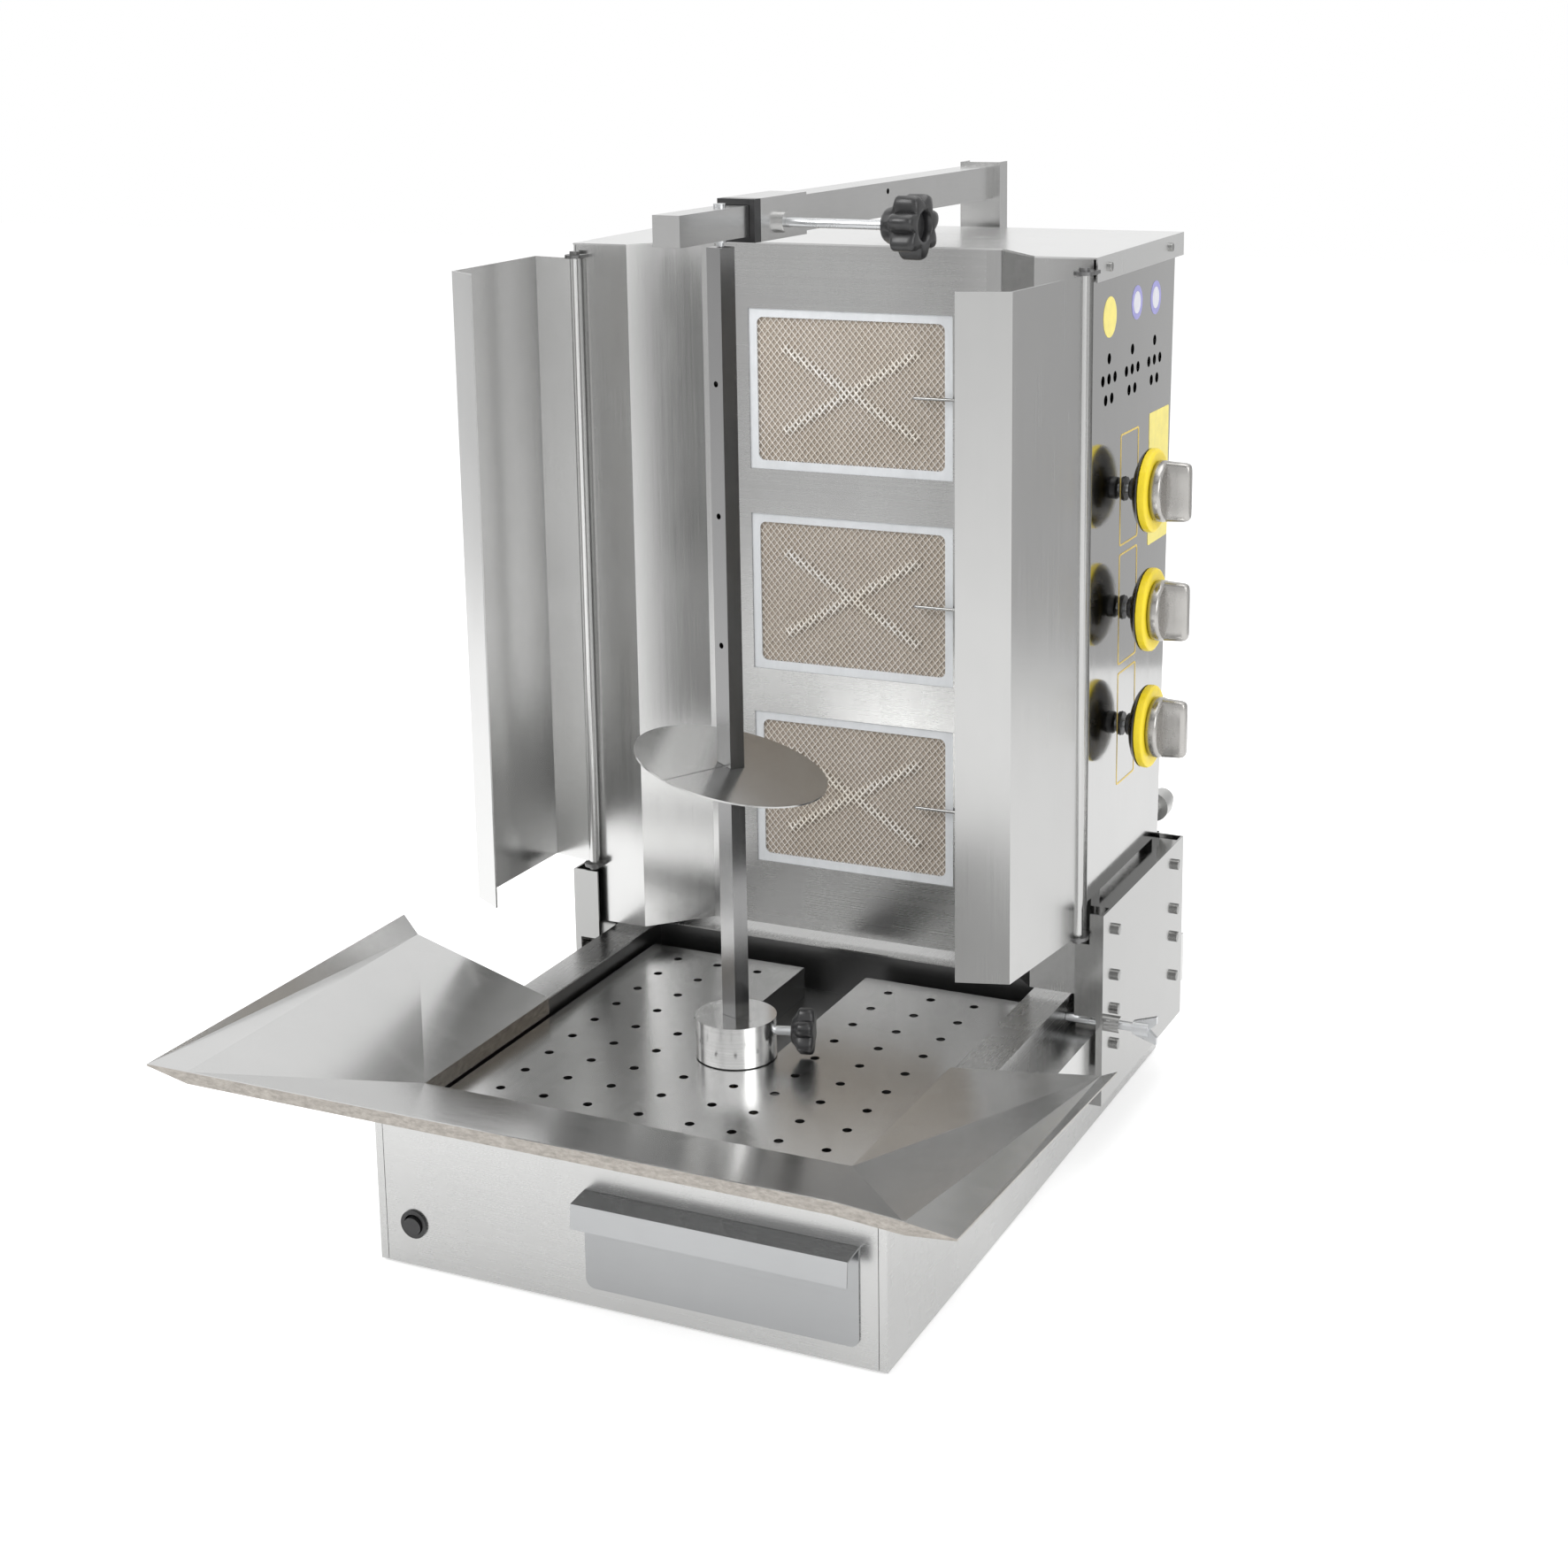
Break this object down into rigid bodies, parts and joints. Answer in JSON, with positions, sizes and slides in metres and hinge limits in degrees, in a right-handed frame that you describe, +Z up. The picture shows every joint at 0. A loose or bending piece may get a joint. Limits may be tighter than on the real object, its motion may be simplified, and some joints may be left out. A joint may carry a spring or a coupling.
{
  "type": "vertical_meat_grill",
  "caption": "Gas-fired vertical meat grill: motor-driven spit with a leaning disc before ceramic burners in a sliding housing with two wind doors, over a drip tray and drawer base.",
  "frame": {"origin": "On the ground under the middle of the whole grill; the spit axis stands 67 mm in front of it, in the middle of the width.", "axes": "X runs across the grill to the right, Y runs to the back, Z is up; the burner wall faces -Y and the drawer is at the -Y end."},
  "size_m": [0.686, 0.846, 0.872],
  "materials": {
    "brushed_steel": "satin brushed stainless sheet",
    "polished_steel": "bright, nearly mirror polished stainless",
    "turned_aluminium": "turned bright aluminium",
    "bright_zinc": "bright zinc plated steel",
    "white_enamel": "silvery white frame",
    "heat_steel_net": "expanded wire net, heat toned",
    "burner_ceramic": "unglazed perforated burner ceramic",
    "cast_burner": "dull cast aluminium",
    "igniter_ceramic": "glazed white ceramic with steel rod",
    "gas_brass": "machined brass",
    "plated_pipe": "zinc plated gas pipe",
    "black_plastic": "moulded black plastic",
    "knob_chrome": "chromed grip on a yellow skirt",
    "foot_rubber": "black rubber",
    "white_nylon": "white sliding plastic",
    "motor_paint": "dark grey paint"
  },
  "bodies": {
    "base": {"base_walls": "brushed_steel", "base_front": "brushed_steel", "base_floor": "brushed_steel", "deck": "brushed_steel", "feet": "foot_rubber", "well_pan": "brushed_steel", "perforated_plate": "polished_steel", "drawer_runners": "brushed_steel", "gear_motor": "motor_paint", "hub_bearing": "gas_brass", "side_rails": "polished_steel", "rear_post": "brushed_steel", "arm_tube": "polished_steel", "arm_liner": "black_plastic", "switch_body": "black_plastic", "base_screws": "bright_zinc", "cable_gland": "black_plastic"},
    "turntable": {"drive_shaft": "bright_zinc", "spit_hub": "turned_aluminium", "spit_tube": "polished_steel"},
    "disc": {"meat_disc": "polished_steel"},
    "clamp": {"clamp_knob": "black_plastic", "clamp_screw": "bright_zinc"},
    "slider": {"arm_slider": "polished_steel", "arm_pin": "bright_zinc"},
    "star": {"star_knob": "black_plastic", "star_screw": "bright_zinc"},
    "tray": {"catch_tray": "polished_steel"},
    "drawer": {"drawer_pan": "brushed_steel", "drawer_front": "brushed_steel"},
    "switch": {"switch_rocker": "black_plastic"},
    "carriage": {"side_panel_left": "brushed_steel", "side_panel_right": "polished_steel", "housing_back_panel": "brushed_steel", "lid": "brushed_steel", "wing_left": "brushed_steel", "wing_right": "brushed_steel", "burner_fascia": "brushed_steel", "burner_frames": "white_enamel", "burner_tiles": "burner_ceramic", "burner_screens": "heat_steel_net", "burner_boxes": "cast_burner", "igniters": "igniter_ceramic", "gas_manifold": "plated_pipe", "gas_valves": "gas_brass", "gas_inlet": "plated_pipe", "bracket_left": "brushed_steel", "bracket_right": "brushed_steel", "slider_pads": "white_nylon", "carriage_bolts": "bright_zinc", "door_hinges": "bright_zinc"},
    "left_door": {"door_left": "brushed_steel"},
    "right_door": {"door_right": "brushed_steel"},
    "lock": {"lock_screw": "bright_zinc"},
    "stem_low": {"valve_stem_low": "bright_zinc"},
    "stem_middle": {"valve_stem_middle": "bright_zinc"},
    "stem_high": {"valve_stem_high": "bright_zinc"},
    "knob_low": {"gas_knob_low": "knob_chrome"},
    "knob_middle": {"gas_knob_middle": "knob_chrome"},
    "knob_high": {"gas_knob_high": "knob_chrome"}
  },
  "joints": [
    {"name": "spit_spin", "type": "hinge", "parent": "base", "child": "turntable", "pos_m": [0, -0.067, 0.2], "axis": [0, 0, 1], "continuous": true},
    {"name": "disc_slide", "type": "slide", "parent": "turntable", "child": "disc", "axis": [0, 0, 1], "range_m": [-0.15, 0.35]},
    {"name": "clamp_turn", "type": "hinge", "parent": "turntable", "child": "clamp", "pos_m": [0.04755, -0.05155, 0.1635], "axis": [0.9511, 0.309, 0], "range_deg": [0, 360]},
    {"name": "arm_slide", "type": "slide", "parent": "base", "child": "slider", "axis": [0.0837, 0.9965, 0], "range_m": [-0.06, 0.018]},
    {"name": "star_turn", "type": "hinge", "parent": "base", "child": "star", "pos_m": [0.05551, -0.00342, 0.847], "axis": [0.9965, -0.0837, 0], "range_deg": [0, 360]},
    {"name": "tray_lift", "type": "slide", "parent": "base", "child": "tray", "axis": [0, 0, 1], "range_m": [0, 0.03]},
    {"name": "drawer_slide", "type": "slide", "parent": "base", "child": "drawer", "axis": [0, -1, 0], "range_m": [0, 0.12]},
    {"name": "switch_tilt", "type": "hinge", "parent": "base", "child": "switch", "pos_m": [-0.1956, -0.2765, 0.0394], "axis": [-1, 0, 0], "range_deg": [0, 14]},
    {"name": "carriage_slide", "type": "slide", "parent": "base", "child": "carriage", "axis": [0, 1, 0], "range_m": [-0.11, 0]},
    {"name": "left_door_swing", "type": "hinge", "parent": "carriage", "child": "left_door", "pos_m": [-0.244, 0.123, 0.5], "axis": [0, 0, 1], "range_deg": [-15, 95]},
    {"name": "right_door_swing", "type": "hinge", "parent": "carriage", "child": "right_door", "pos_m": [0.244, 0.116, 0.5], "axis": [0, 0, 1], "range_deg": [-45, 84]},
    {"name": "lock_turn", "type": "hinge", "parent": "carriage", "child": "lock", "pos_m": [0.29, 0.13, 0.138], "axis": [1, 0, 0], "range_deg": [0, 360]},
    {"name": "push_low", "type": "slide", "parent": "carriage", "child": "stem_low", "axis": [1, 0, 0], "range_m": [-0.003, 0], "stiffness_N_per_m": 1500},
    {"name": "turn_low", "type": "hinge", "parent": "stem_low", "child": "knob_low", "pos_m": [0.28, 0.223, 0.386], "axis": [1, 0, 0], "range_deg": [0, 210]},
    {"name": "push_middle", "type": "slide", "parent": "carriage", "child": "stem_middle", "axis": [1, 0, 0], "range_m": [-0.003, 0], "stiffness_N_per_m": 1500},
    {"name": "turn_middle", "type": "hinge", "parent": "stem_middle", "child": "knob_middle", "pos_m": [0.28, 0.223, 0.493], "axis": [1, 0, 0], "range_deg": [0, 210]},
    {"name": "push_high", "type": "slide", "parent": "carriage", "child": "stem_high", "axis": [1, 0, 0], "range_m": [-0.003, 0], "stiffness_N_per_m": 1500},
    {"name": "turn_high", "type": "hinge", "parent": "stem_high", "child": "knob_high", "pos_m": [0.28, 0.223, 0.6], "axis": [1, 0, 0], "range_deg": [0, 210]}
  ]
}
